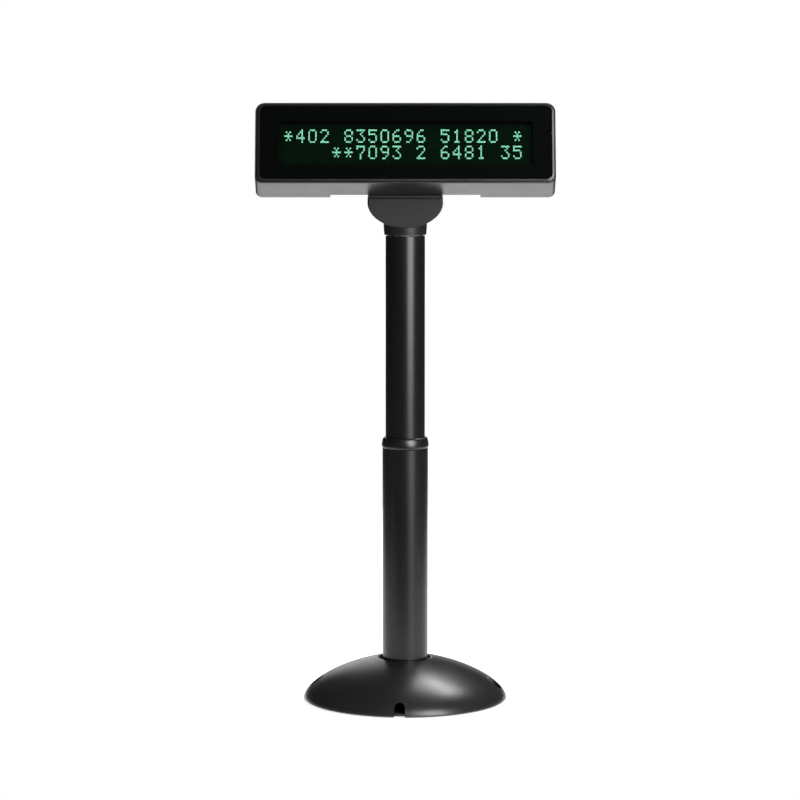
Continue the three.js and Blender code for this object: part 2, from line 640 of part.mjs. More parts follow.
function hingeHardware(group) {
  const place = (part) => moved(part, 0, HINGE_DEPTH, HINGE_HEIGHT);
  const washer = (x) => place(alongX(tube(6, PIN_RADIUS + 0.15, x, x + 0.6, 24)));
  add(group, 'friction_washer_left', washer(-TONGUE_HALF - 0.8), MATERIAL.nylon);
  add(group, 'friction_washer_right', washer(TONGUE_HALF + 0.2), MATERIAL.nylon);
  add(group, 'spring_washer', place(alongX(tube(4.6, PIN_RADIUS + 0.15, 12.9, 14, 24))), MATERIAL.steel);
  const nut = rod(5, 14.2, 18.4, 6).subtract(rod(PIN_RADIUS + 0.12, 14, 19, 24));
  add(group, 'tilt_nut', place(alongX(nut)), MATERIAL.steel);
  const pin = turned([
    [0, -15], [4.4, -15], [4.6, -14.4], [4.6, -13], [PIN_RADIUS, -13], [PIN_RADIUS, 19], [0, 19],
  ], 24);
  add(group, 'tilt_pin', place(alongX(pin)), MATERIAL.steel);
}

function fluorescentDisplay(group) {
  const middle = TUBE_MIDDLE;
  add(group, 'vfd_front_glass', panel(2 * GLASS_HALF, 34, 1, middle, 3.6, 5.2), MATERIAL.glass);
  const frame = panel(2 * GLASS_HALF, 34, 1, middle, 5.3, 8.3).subtract(panel(160, 28.6, 0.5, middle, 5, 9));
  add(group, 'vfd_spacer_frame', frame, MATERIAL.glass);
  add(group, 'vfd_back_glass', panel(2 * GLASS_HALF, 36, 1, middle, 8.4, 10.4), MATERIAL.glass);
  add(group, 'vfd_anode_plate', panel(158, 27.6, 0.5, middle, 7.7, 8.2), MATERIAL.phosphor);

  let grid = box(-78, 78, 6.3, 6.5, middle - 12, middle + 12);
  for (let i = 0; i < COLUMNS; i += 1) {
    const x = (i - (COLUMNS - 1) / 2) * COLUMN_PITCH;
    grid = grid.subtract(box(x - 3.3, x + 3.3, 6, 7, middle - 10.5, middle + 10.5));
  }
  add(group, 'vfd_grid', grid, MATERIAL.steel);

  const combLow = middle - COMB_DROP;
  let comb = box(-75, 75, 8.6, 9.6, combLow, combLow + 0.6);
  for (let i = 0; i < COLUMNS; i += 1) {
    const x = (i - (COLUMNS - 1) / 2) * COLUMN_PITCH;
    comb = comb.add(box(x - 0.5, x + 0.5, 9.4, PCB_FRONT - 0.2, combLow, combLow + 0.6));
  }
  add(group, 'vfd_lead_comb', comb, MATERIAL.steel);

  const nipple = turned([[0, 0], [3, 0], [2.2, 1.6], [0.8, 3.2], [0, 3.4]], 20);
  add(group, 'vfd_exhaust_tip', moved(alongY(nipple), 72, 10.5, middle + 8), MATERIAL.glass);
  add(group, 'vfd_foam_pad', panel(90, 16, 1, middle, 10.6, PCB_FRONT - 0.2), MATERIAL.foam);
}

function circuitBoard(group) {
  const back = PCB_FRONT + PCB_THICK;
  let board = box(-88.4, 88.4, PCB_FRONT, back, 11.5, 40.5)
    .add(box(-82.5, 82.5, PCB_FRONT, back, 4, 48));
  for (const [x, z] of eachCorner(PCB_POST_X, PCB_POST_LEVELS)) {
    board = board.subtract(moved(alongY(rod(1.4, 10, 20)), x, 0, z));
  }
  add(group, 'display_pcb', board, MATERIAL.circuitBoard);
  eachCorner(PCB_POST_X, PCB_POST_LEVELS).forEach(([x, z], i) => {
    const fixing = screw(2.1, 1.4, 0.9, 6).rotate([-90, 0, 0]);
    add(group, `pcb_screw_${i + 1}`, moved(fixing, x, back + 0.1, z), MATERIAL.steel);
  });

  const seat = back + 0.1;
  add(group, 'controller_chip', box(-32, -18, seat, seat + 1.8, 18, 32), MATERIAL.chip);
  add(group, 'driver_chip_1', box(-62, -42, seat, seat + 2, 20, 32), MATERIAL.chip);
  add(group, 'driver_chip_2', box(0, 20, seat, seat + 2, 20, 32), MATERIAL.chip);
  const core = tube(7, 2.6, 0, 8, 24);
  add(group, 'converter_transformer', moved(alongY(core), 60, seat, 30), MATERIAL.ferrite);
  const can = turned([[0, 0], [4, 0], [4, 9.2], [3.6, 9.6], [0, 9.6]], 24);
  add(group, 'filter_capacitor', moved(alongY(can), 40, seat, 38), MATERIAL.capacitor);
  const shroud = box(-9, 9, seat, seat + 8, 5, 12.5).subtract(box(-8, 8, seat + 1.5, seat + 9, 6, 11.5));
  add(group, 'cable_socket', shroud, MATERIAL.connector);
}

function buildHead(group) {
  add(group, 'front_bezel', frontBezel(), MATERIAL.satinPlastic);
  const pane = [WINDOW_WIDTH - 0.5, WINDOW_HEIGHT - 0.5, 3.8, WINDOW_MIDDLE];
  const window = panel(...pane, WINDOW_FRONT, WINDOW_BACK);
  add(group, 'filter_window', window, MATERIAL.window);
  add(group, 'rear_housing', rearHousing(), MATERIAL.satinPlastic);
  eachCorner(POST_X, POST_LEVELS).forEach(([x, z], i) => {
    const fixing = screw(2.6, 2, 1.2, 8.4).rotate([-90, 0, 0]);
    add(group, `housing_screw_${i + 1}`, moved(fixing, x, 15.2, z), MATERIAL.steel);
  });
  fluorescentDisplay(group);
  circuitBoard(group);
  add(group, 'hinge_bracket', hingeBracket(), MATERIAL.darkSteel);
  [1, -1].forEach((side, i) => {
    const fixing = screw(3, 1.8, 1.1, 7).rotate([-90, 0, 0]);
    const placed = moved(fixing, side * HINGE_SCREW_X, RECESS_FACE + GAP + 1.75, HINGE_SCREW_Z);
    add(group, `hinge_screw_${i + 1}`, placed, MATERIAL.steel);
  });
  hingeHardware(group);
}

const head = new THREE.Group();
head.position.set(...HEAD_ORIGIN);
head.rotation.x = -rad(TILT);

buildBase(display);
buildMast(display);
buildNeck(display);
buildHead(head);
display.add(head);

export default display;
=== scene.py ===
"""Customer pole display: the visible pieces, materials, floor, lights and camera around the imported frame.

Shapes are worked out in millimetres and written to Blender in metres. -Y is the front and +Z is up.
"""
import json
import math

import bmesh
import bpy
from mathutils import Matrix, Vector


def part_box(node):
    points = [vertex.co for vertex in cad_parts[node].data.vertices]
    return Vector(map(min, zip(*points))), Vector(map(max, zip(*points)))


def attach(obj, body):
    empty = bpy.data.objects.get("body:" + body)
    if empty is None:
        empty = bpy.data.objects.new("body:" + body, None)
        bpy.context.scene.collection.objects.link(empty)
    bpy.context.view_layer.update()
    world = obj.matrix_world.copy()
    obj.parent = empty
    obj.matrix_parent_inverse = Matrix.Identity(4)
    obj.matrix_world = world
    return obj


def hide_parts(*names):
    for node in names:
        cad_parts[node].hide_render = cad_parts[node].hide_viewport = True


MM = 0.001
TAU = 2 * math.pi
FILLET_STEPS = 4
FACING_BACK = Matrix.Rotation(-math.pi / 2, 4, "X")
SWAP_X_AND_Y = Matrix(((0, 1, 0, 0), (1, 0, 0, 0), (0, 0, 1, 0), (0, 0, 0, 1)))

# ---------------------------------------------------------------- the frame and the sizes read from it
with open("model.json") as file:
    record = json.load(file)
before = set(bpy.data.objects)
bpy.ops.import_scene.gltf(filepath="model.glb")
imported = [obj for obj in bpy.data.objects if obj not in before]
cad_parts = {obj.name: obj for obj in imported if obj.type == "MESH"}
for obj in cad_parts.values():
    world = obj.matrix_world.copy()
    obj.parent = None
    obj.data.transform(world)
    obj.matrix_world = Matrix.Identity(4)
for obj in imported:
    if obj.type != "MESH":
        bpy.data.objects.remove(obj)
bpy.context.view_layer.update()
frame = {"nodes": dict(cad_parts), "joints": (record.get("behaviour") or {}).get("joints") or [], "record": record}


def node_mm(name):
    """Lowest and highest corner of a CAD node, in millimetres."""
    low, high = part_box(name)
    return Vector(low) / MM, Vector(high) / MM


def joint_mm(name):
    joint = next(j for j in frame["joints"] if j["name"] == name)
    return Vector(joint["pos_m"]) / MM


COVER_LOW = node_mm("base_cover")[0]
TUBE_LOW, TUBE_HIGH = node_mm("lower_tube")
MAST_LOW, MAST_HIGH = node_mm("upper_tube")
LIP_LOW, LIP_HIGH = node_mm("guide_bush")
NECK_LOW, NECK_HIGH = node_mm("neck_shell")
NECK_BACK_LOW, NECK_BACK_HIGH = node_mm("neck_rear_cover")

LOWER_RADIUS = TUBE_HIGH.x
UPPER_RADIUS = MAST_HIGH.x
LIP_RADIUS = LIP_HIGH.x
DOME_RADIUS = -COVER_LOW.y - 0.02

# the dome's section is a superellipse
DOME_HEIGHT = 28.2
DOME_EQUATOR = 1.9
DOME_POWER = 1.61
DOME_WALL = 2.4
DOME_HOLE = LOWER_RADIUS + 1.5
MOUTH_EASE = 1.6
TUBE_WALL = 1.2
RIM_LEVEL = COVER_LOW.z
BASE_TURN = math.radians(-3.3)
NOTCH_WIDTH = 6.8
NOTCH_TOP = 9.8
POCKET_AT = 57.6
POCKET_RADIAL = 9.8
POCKET_ACROSS = 13
POCKET_FLOOR = 4.6
COUNTER_HOLE = 2.3

# the neck
COLLAR_LOW = NECK_LOW.z
COLLAR_RADIUS = 13.9
FAN_HALF = NECK_HIGH.x
FAN_CENTRE = 322
FAN_DROP = 16.1
FAN_STEPS = 64
FAN_CORNER = 0.8
FAN_FILLET = 0.9
FAN_RISE = 30
FAN_TOP = NECK_BACK_HIGH.z
FAN_FRONT = NECK_LOW.y
FAN_BACK = NECK_HIGH.y
LEDGE_TOP = 324.9
LEDGE_BACK = -12.8
NECK_SPLIT = NECK_BACK_LOW.y - 0.3
NECK_SCREW = Vector((15, 0, 318))
TONGUE_HALF = 9.7
KNUCKLE = 7

# the head, in its own frame: x, depth behind the front face, height above the lower edge
TILT = math.radians(17.5)
HEAD_ORIGIN = Vector((0, -43.9, 335.6))
HEAD = Matrix.Translation(HEAD_ORIGIN) @ Matrix.Rotation(-TILT, 4, "X")
HEAD_HALF = 94
HEAD_HEIGHT = 52
HEAD_DEPTH = 35
LOW_CORNER = 4.2
TOP_CORNER = 5.8
HEAD_FLARE = 0.95
HEAD_WALL = 2.3
REAR_FILLET = 0.55
PARTING = 2.0
SEAM = 0.25
WINDOW_HALF = 91.5
WINDOW_SHIFT = 0.3
WINDOW_LOW = 2.4
WINDOW_HIGH = 50.0
WINDOW_CORNER = 3.8
WINDOW_SEAT = 1.5
RECESS_HALF = 47.6
RECESS_FACE = 28.8
RECESS_TOP = 43
HINGE_DEPTH = 40
HINGE_HEIGHT = 19
POST_X = 87.3
POST_LEVELS = (6.4, 45.2)
BRACKET_SCREW = (20, 24)
HOUSING_SCREW_SEAT = 15.2
VENT_COUNT = 7
VENT_PITCH = 14
VENT_LEVEL = 48
VENT_HALF = (5, 0.8)


# ---------------------------------------------------------------- mesh code
def to_world(place):
    """A matrix that takes millimetres in a piece's own frame to metres in the row frame."""
    return Matrix.Scale(MM, 4) @ place


def solid_object(name, bm, place=Matrix.Identity(4)):
    bmesh.ops.recalc_face_normals(bm, faces=bm.faces)
    mesh = bpy.data.meshes.new(name)
    bm.to_mesh(mesh)
    bm.free()
    mesh.transform(to_world(place))
    piece = bpy.data.objects.new(name, mesh)
    bpy.context.scene.collection.objects.link(piece)
    return piece


def add_loops(bm, loops, closed=False):
    """Faces between loops of equally many points. An open stack is capped at both ends."""
    rings = [[bm.verts.new(point) for point in loop] for loop in loops]
    pairs = list(zip(rings, rings[1:]))
    if closed:
        pairs.append((rings[-1], rings[0]))
    for low, high in pairs:
        count = len(low)
        for i in range(count):
            j = (i + 1) % count
            bm.faces.new((low[i], low[j], high[j], high[i]))
    if not closed:
        bm.faces.new(rings[0])
        bm.faces.new(rings[-1])


def rounded_rectangle(half_x, half_z, corner, middle_x=0.0, middle_z=0.0, steps=8, top_corner=None):
    """Points of a rounded rectangle in X and Z, with the same count for every size."""
    points = []
    for quarter, (sx, sz) in enumerate(((1, -1), (1, 1), (-1, 1), (-1, -1))):
        radius = top_corner if top_corner and sz > 0 else corner
        cx = middle_x + sx * (half_x - radius)
        cz = middle_z + sz * (half_z - radius)
        for i in range(steps + 1):
            angle = (quarter - 1 + i / steps) * math.pi / 2
            points.append((cx + radius * math.cos(angle), cz + radius * math.sin(angle)))
    return points


def at_depth(outline, depth):
    return [Vector((x, depth, z)) for x, z in outline]


def slab(bm, outline_at, y0, y1, fillet):
    """An extrusion along Y with rounded edges. outline_at(inset) gives the outline, drawn in by inset."""
    loops = []
    for i in range(FILLET_STEPS + 1):
        angle = i / FILLET_STEPS * math.pi / 2
        depth = y0 + fillet * (1 - math.cos(angle))
        loops.append(at_depth(outline_at(fillet * (1 - math.sin(angle))), depth))
    for i in range(FILLET_STEPS + 1):
        angle = i / FILLET_STEPS * math.pi / 2
        depth = y1 - fillet * (1 - math.sin(angle))
        loops.append(at_depth(outline_at(fillet * (1 - math.cos(angle))), depth))
    add_loops(bm, loops)


def plate(bm, half_x, half_z, corner, middle_z, y0, y1, fillet, middle_x=0.0):
    def outline_at(inset):
        return rounded_rectangle(half_x - inset, half_z - inset, corner - inset * 0.6, middle_x, middle_z)

    slab(bm, outline_at, y0, y1, fillet)


def add_lathe(bm, profile, segments=96):
    """A body of revolution about Z. A profile that starts and ends on the axis is closed by its poles."""
    rings = []
    for radius, level in profile:
        if radius <= 1e-6:
            rings.append([bm.verts.new((0, 0, level))])
            continue
        ring = []
        for i in range(segments):
            angle = TAU * i / segments
            ring.append(bm.verts.new((radius * math.cos(angle), radius * math.sin(angle), level)))
        rings.append(ring)
    pairs = list(zip(rings, rings[1:]))
    if len(rings[0]) > 1:
        pairs.append((rings[-1], rings[0]))
    for a, b in pairs:
        for i in range(segments):
            j = (i + 1) % segments
            if len(a) == 1 and len(b) == 1:
                break
            if len(a) == 1:
                bm.faces.new((a[0], b[i], b[j]))
            elif len(b) == 1:
                bm.faces.new((a[i], a[j], b[0]))
            else:
                bm.faces.new((a[i], a[j], b[j], b[i]))


def arc(centre, radius, start, end, steps):
    """Profile points on an arc, angles in degrees."""
    points = []
    for i in range(steps + 1):
        angle = math.radians(start + (end - start) * i / steps)
        points.append((centre[0] + radius * math.cos(angle), centre[1] + radius * math.sin(angle)))
    return points


def lathe_object(name, profile, segments=96, place=Matrix.Identity(4)):
    bm = bmesh.new()
    add_lathe(bm, profile, segments)
    return solid_object(name, bm, place)


def combine(piece, other, operation):
    """Joins or cuts piece with other, and removes other."""
    change = piece.modifiers.new("combine", "BOOLEAN")
    change.operation = operation
    change.solver = "EXACT"
    change.object = other
    graph = bpy.context.evaluated_depsgraph_get()
    result = bpy.data.meshes.new_from_object(piece.evaluated_get(graph))
    piece.modifiers.clear()
    old = piece.data
    piece.data = result
    bpy.data.meshes.remove(old)
    bpy.data.meshes.remove(other.data)


def smooth(piece, angle=32):
    mesh = piece.data
    for polygon in mesh.polygons:
        polygon.use_smooth = True
    mesh.set_sharp_from_angle(angle=math.radians(angle))


def finish_piece(piece, body, material, nodes=(), angle=32, weighted=True):
    smooth(piece, angle)
    if weighted:
        normals = piece.modifiers.new("normals", "WEIGHTED_NORMAL")
        normals.keep_sharp = True
    piece.data.materials.clear()
    piece.data.materials.append(material)
    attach(piece, body)
    if nodes:
        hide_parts(*nodes)
    return piece


# ---------------------------------------------------------------- materials
NOISE_LOW = 0.3
NOISE_HIGH = 0.7


class Look:
    """A Principled material with named helper nodes for procedural detail."""

    def __init__(self, name, color, roughness, metallic=0.0, ior=1.5):
        self.material = bpy.data.materials.new(name)
        self.material.use_nodes = True
        self.tree = self.material.node_tree
        self.shader = self.tree.nodes["Principled BSDF"]
        self.color = color
        self.roughness = roughness
        self.set("Base Color", (*color, 1))
        self.set("Roughness", roughness)
        self.set("Metallic", metallic)
        self.set("IOR", ior)

    def set(self, socket, value):
        self.shader.inputs[socket].default_value = value
        return self

    def node(self, kind, **values):
        made = self.tree.nodes.new(kind)
        for key, value in values.items():
            if key in made.inputs:
                made.inputs[key].default_value = value
            else:
                setattr(made, key, value)
        return made

    def link(self, source, target):
        self.tree.links.new(source, target)

    def coordinates(self, stretch=(1, 1, 1)):
        position = self.node("ShaderNodeTexCoord")
        mapping = self.node("ShaderNodeMapping")
        mapping.inputs["Scale"].default_value = stretch
        self.link(position.outputs["Object"], mapping.inputs["Vector"])
        return mapping.outputs["Vector"]

    def noise(self, scale, detail=3.0, roughness=0.55, stretch=(1, 1, 1)):
        made = self.node("ShaderNodeTexNoise", Scale=scale, Detail=detail, Roughness=roughness)
        self.link(self.coordinates(stretch), made.inputs["Vector"])
        return made.outputs["Fac"]

    def spread(self, source, low, high):
        """Maps a noise's middle range onto low to high."""
        made = self.node("ShaderNodeMapRange")
        made.inputs["From Min"].default_value = NOISE_LOW
        made.inputs["From Max"].default_value = NOISE_HIGH
        made.inputs["To Min"].default_value = low
        made.inputs["To Max"].default_value = high
        self.link(source, made.inputs["Value"])
        return made.outputs["Result"]

    def vary_roughness(self, scale, amount, stretch=(1, 1, 1)):
        noise = self.noise(scale, 4.0, 0.6, stretch)
        value = self.spread(noise, self.roughness - amount, self.roughness + amount)
        self.link(value, self.shader.inputs["Roughness"])
        return self

    def vary_color(self, scale, amount):
        """Shifts the base colour up and down by amount, a share of itself."""
        mix = self.node("ShaderNodeMix", data_type="RGBA")
        dark = tuple(c * (1 - amount) for c in self.color)
        light = tuple(c * (1 + amount) for c in self.color)
        for socket, value in ((mix.inputs[6], dark), (mix.inputs[7], light)):
            socket.default_value = (*value, 1)
        self.link(self.spread(self.noise(scale, 4.0, 0.6), 0, 1), mix.inputs["Factor"])
        self.link(mix.outputs[2], self.shader.inputs["Base Color"])
        return self

    def grain(self, scale, depth_mm, stretch=(1, 1, 1), detail=2.0):
        bump = self.node("ShaderNodeBump")
        bump.inputs["Strength"].default_value = 1.0
        bump.inputs["Distance"].default_value = depth_mm * MM
        self.link(self.noise(scale, detail, 0.5, stretch), bump.inputs["Height"])
        self.link(bump.outputs["Normal"], self.shader.inputs["Normal"])
        return self


def satin_plastic():
    look = Look("satin_black_plastic", (0.0105, 0.0108, 0.011), 0.32, ior=1.45)
    return look.vary_roughness(60, 0.03).vary_color(220, 0.12).grain(2600, 0.004).material


def neck_plastic():
    look = Look("neck_black_plastic", (0.009, 0.0092, 0.0094), 0.42, ior=1.4)
    return look.vary_roughness(60, 0.03).vary_color(220, 0.12).grain(2600, 0.005).material


def gloss_plastic():
    look = Look("lip_black_plastic", (0.006, 0.0062, 0.0064), 0.3)
    return look.vary_roughness(90, 0.03).vary_color(300, 0.1).grain(1500, 0.003).material


def near_black_sheet():
    # Near black with a faint green tint; it darkens everything seen through the window outside the display field.
    look = Look("near_black_sheet", (0.0004, 0.0014, 0.001), 0.6)
    look.set("Specular IOR Level", 0.2)
    return look.vary_roughness(80, 0.03).vary_color(200, 0.1).material


def tube_paint():
    look = Look("tube_black_coat", (0.005, 0.0052, 0.0054), 0.29)
    look.set("Specular IOR Level", 0.4)
    look.vary_roughness(45, 0.02, (1, 1, 0.25)).vary_color(200, 0.1)
    return look.grain(900, 0.003, (1, 1, 0.5)).material


def smoked_window():
    look = Look("smoked_window", (0.0003, 0.0012, 0.0009), 0.04, ior=1.25)
    look.set("Alpha", 0.45)
    return look.vary_roughness(12, 0.012).material


def tube_glass():
    look = Look("display_glass", (0.003, 0.008, 0.005), 0.06, ior=1.3)
    look.set("Alpha", 0.15)
    return look.vary_roughness(30, 0.015).material


def anode_plate_painted_glow():
    look = Look("anode_plate_painted_glow", (0.002, 0.014, 0.005), 0.6)
    look.set("Specular IOR Level", 0.2)
    # Painted glow: a faint green emission on the unlit anode stands in for room light that the phosphor would
    # reflect back through the window.
    look.set("Emission Color", (0.06, 0.55, 0.14, 1))
    look.set("Emission Strength", 0.034)
    return look.vary_color(900, 0.15).grain(2500, 0.01).material


def lit_phosphor():
    look = Look("lit_phosphor", (0.10, 0.45, 0.30), 0.6)
    look.set("Emission Color", (0.28, 0.82, 0.54, 1))
    look.set("Emission Strength", 4.6)
    return look.vary_color(3000, 0.1).material


def bare_steel():
    look = Look("zinc_steel", (0.55, 0.56, 0.57), 0.32, metallic=1.0)
    return look.vary_roughness(400, 0.07).vary_color(500, 0.08).grain(2200, 0.004).material


def black_steel():
    look = Look("black_oxide_steel", (0.03, 0.03, 0.032), 0.42, metallic=0.6)
    return look.vary_roughness(150, 0.06).vary_color(260, 0.2).grain(1800, 0.006).material


def cast_iron():
    look = Look("cast_iron", (0.06, 0.058, 0.055), 0.7, metallic=0.7)
    return look.vary_roughness(200, 0.1).vary_color(160, 0.3).grain(700, 0.12, detail=5.0).material


def rubber():
    look = Look("black_rubber", (0.012, 0.012, 0.012), 0.75)
    return look.vary_roughness(300, 0.08).vary_color(400, 0.2).grain(3200, 0.015).material


def natural_nylon():
    look = Look("natural_nylon", (0.55, 0.53, 0.47), 0.42)
    return look.vary_roughness(200, 0.05).vary_color(150, 0.06).grain(2000, 0.006).material


def circuit_board():
    look = Look("solder_mask", (0.015, 0.10, 0.04), 0.35)
    return look.vary_roughness(500, 0.06).vary_color(350, 0.25).grain(1200, 0.02).material


def moulded_epoxy():
    look = Look("moulded_epoxy", (0.012, 0.013, 0.014), 0.55)
    return look.vary_roughness(500, 0.06).vary_color(500, 0.2).grain(3500, 0.01).material


def foam():
    look = Look("foam", (0.03, 0.03, 0.033), 0.95)
    return look.vary_roughness(300, 0.03).vary_color(900, 0.4).grain(1600, 0.15).material


def ferrite():
    look = Look("ferrite", (0.025, 0.026, 0.03), 0.6)
    return look.vary_roughness(300, 0.08).vary_color(500, 0.2).grain(2500, 0.02).material


def capacitor_sleeve():
    look = Look("capacitor_sleeve", (0.015, 0.04, 0.09), 0.35)
    return look.vary_roughness(300, 0.05).vary_color(300, 0.1).grain(1500, 0.01).material


def connector_plastic():
    look = Look("connector_plastic", (0.72, 0.69, 0.6), 0.45)
    return look.vary_roughness(300, 0.05).vary_color(300, 0.06).grain(2200, 0.006).material


LOOKS = {
    "satin_plastic": satin_plastic(),
    "gloss_plastic": gloss_plastic(),
    "tube_paint": tube_paint(),
    "steel": bare_steel(),
    "dark_steel": black_steel(),
    "cast_iron": cast_iron(),
    "rubber": rubber(),
    "nylon": natural_nylon(),
    "window": smoked_window(),
    "vfd_glass": tube_glass(),
    "display_phosphor": anode_plate_painted_glow(),
    "foam": foam(),
    "circuit_board": circuit_board(),
    "chip": moulded_epoxy(),
    "ferrite": ferrite(),
    "capacitor": capacitor_sleeve(),
    "connector": connector_plastic(),
}
LIT = lit_phosphor()
NECK_LOOK = neck_plastic()
MASK_LOOK = near_black_sheet()


def dress_frame():
    """Every CAD node takes its slot's material and eased edges."""
    slots = {part["node"]: part["material_slot"] for part in frame["record"]["subparts"]}
    for name, node in frame["nodes"].items():
        node.data.materials.clear()
        node.data.materials.append(LOOKS[slots[name]])
        ease = node.modifiers.new("ease", "BEVEL")
        ease.width = 0.15 * MM
        ease.segments = 2
        ease.limit_method = "ANGLE"
        ease.angle_limit = math.radians(50)


# ---------------------------------------------------------------- base
def dome_level(radius, inset=0.0):
    share = min(1.0, radius / (DOME_RADIUS - inset))
    rise = (1 - share**DOME_POWER) ** (1 / DOME_POWER)
    return DOME_EQUATOR + (DOME_HEIGHT - inset) * rise


def dome_curve(inset, innermost, steps):
    """The dome's section from its widest level in to a radius."""
    points = []
    for i in range(steps + 1):
        angle = i / steps * math.pi / 2
        radius = (DOME_RADIUS - inset) * math.cos(angle) ** (2 / DOME_POWER)
        if radius <= innermost + 0.4:
            break
        level = DOME_EQUATOR + (DOME_HEIGHT - inset) * math.sin(angle) ** (2 / DOME_POWER)
        points.append((radius, level))
    points.append((innermost, dome_level(innermost, inset)))
    return points


def oval_solid(radial, across, low, high, side):
    bm = bmesh.new()
    add_lathe(bm, [(0, low), (1, low), (1, high), (0, high)], 64)
    bmesh.ops.scale(bm, vec=(radial / 2, across / 2, 1), verts=bm.verts)
    bmesh.ops.translate(bm, vec=(side * POCKET_AT, 0, 0), verts=bm.verts)
    return solid_object("oval", bm)


def notch_solid():
    half = NOTCH_WIDTH / 2
    outline = [(-half, -1), (half, -1)] + arc((0, NOTCH_TOP - half), half, 0, 180, 24)
    bm = bmesh.new()
    add_loops(bm, [at_depth(outline, -72), at_depth(outline, -50)])
    return solid_object("notch", bm)


def tube_profile(outer, inner, low, high, ease=0.3):
    return [
        (inner, low + ease), (inner + ease, low), (outer - ease, low), (outer, low + ease),
        (outer, high - ease), (outer - ease, high), (inner + ease, high), (inner, high - ease),
    ]


def build_base():
    lip = MOUTH_EASE
    outer = dome_curve(0, DOME_HOLE + lip, 72)
    inner = dome_curve(DOME_WALL, DOME_HOLE, 40)
    rim = DOME_RADIUS - 0.9
    crown = outer[-1][1]
    mouth = [(DOME_HOLE + lip - lip * math.sin(a), crown - lip * (1 - math.cos(a)))
             for a in (i / 5 * math.pi / 2 for i in range(1, 6))]
    foot = [(rim - 2.1, RIM_LEVEL), (rim - 0.35, RIM_LEVEL), (rim, RIM_LEVEL + 0.12)]
    shell = lathe_object("base_dome", foot + outer + mouth + inner[::-1], 192)
    filled = [(0, RIM_LEVEL + 2.1), (rim - 1, RIM_LEVEL + 2.1)] + [p for p in outer if p[1] > RIM_LEVEL + 2.2]
    for side in (1, -1):
        whole = lathe_object("filled", filled + [(0, crown)], 96)
        wall = oval_solid(POCKET_RADIAL + 3, POCKET_ACROSS + 3, RIM_LEVEL + 2.15, 40, side)
        combine(wall, whole, "INTERSECT")
        combine(shell, wall, "UNION")
        combine(shell, oval_solid(POCKET_RADIAL, POCKET_ACROSS, POCKET_FLOOR, 40, side), "DIFFERENCE")
        combine(shell, oval_solid(2 * COUNTER_HOLE, 2 * COUNTER_HOLE, -5, 10, side), "DIFFERENCE")
    combine(shell, notch_solid(), "DIFFERENCE")
    shell.data.transform(Matrix.Rotation(BASE_TURN, 4, "Z"))
    finish_piece(shell, "base", LOOKS["satin_plastic"], ["base_cover"])

    ring = lathe_object("pole_ring_fine", [
        (LOWER_RADIUS + 0.1, 22), (LOWER_RADIUS + 1.2, 22), (LOWER_RADIUS + 1.2, 26.6),
        (LOWER_RADIUS + 0.9, 27.1), (LOWER_RADIUS + 0.4, 27.2), (LOWER_RADIUS + 0.1, 27),
    ])
    finish_piece(ring, "base", LOOKS["rubber"], ["pole_ring"])

    profile = tube_profile(LOWER_RADIUS, LOWER_RADIUS - TUBE_WALL, TUBE_LOW.z, TUBE_HIGH.z)
    tube = lathe_object("lower_pole", profile)
    finish_piece(tube, "base", LOOKS["tube_paint"], ["lower_tube"])

    inner_radius = UPPER_RADIUS + 0.07
    lower = LIP_LOW.z
    joint = TUBE_HIGH.z
    top = LIP_HIGH.z
    shoulder = [(LIP_RADIUS - 2.0 + 2.0 * math.cos(a) ** 0.8, top - 5.8 + 5.7 * math.sin(a) ** 0.9)
                for a in (i / 14 * math.pi / 2 for i in range(14))]
    bush = lathe_object("pole_lip", [
        (inner_radius, lower), (LOWER_RADIUS - 1.27, lower), (LOWER_RADIUS - 1.27, joint + 0.1),
        (LOWER_RADIUS, joint + 0.1), (LOWER_RADIUS + 0.08, joint + 0.3), *shoulder,
        (inner_radius + 0.3, top - 0.08), (inner_radius, top - 0.3),
    ])
    finish_piece(bush, "base", LOOKS["gloss_plastic"], ["guide_bush"])

    for i in range(1, 5):
        low, high = node_mm(f"foot_pad_{i}")
        radius = (high.x - low.x) / 2
        centre = (low + high) / 2
        pad = lathe_object(f"foot_{i}", [
            (0, low.z), (radius - 0.5, low.z), (radius - 0.15, low.z + 0.15), (radius, low.z + 0.5),
            (radius, high.z), (0, high.z),
        ], 48, Matrix.Translation((centre.x, centre.y, 0)))
        finish_piece(pad, "base", LOOKS["rubber"], [f"foot_pad_{i}"])


# ---------------------------------------------------------------- mast
def build_mast():
    profile = tube_profile(UPPER_RADIUS, UPPER_RADIUS - TUBE_WALL, MAST_LOW.z, MAST_HIGH.z)
    tube = lathe_object("upper_pole", profile)
    finish_piece(tube, "mast", LOOKS["tube_paint"], ["upper_tube"])


# ---------------------------------------------------------------- neck
def fan_outline(inset, top, bottom=None):
    """The D-shaped outline drawn in by inset, cut flat at top, with its upper corners rounded."""
    half = FAN_HALF - inset
    rise = FAN_RISE - inset
    limit = top - inset
    above = math.asin((limit - FAN_CORNER - FAN_CENTRE) / rise)
    points = []
    for i in range(FAN_STEPS + 1):
        angle = math.pi - above + i / FAN_STEPS * (math.pi + 2 * above)
        semi = rise if math.sin(angle) > 0 else FAN_DROP - inset
        level = FAN_CENTRE + semi * math.sin(angle)
        if bottom is not None:
            level = max(level, bottom + inset)
        points.append((half * math.cos(angle), level))
    edge = half * math.cos(above)
    points += [(edge - 0.3 * FAN_CORNER, limit - 0.3 * FAN_CORNER), (edge - FAN_CORNER, limit)]
    points += [(FAN_CORNER - edge, limit), (0.3 * FAN_CORNER - edge, limit - 0.3 * FAN_CORNER)]
    return points


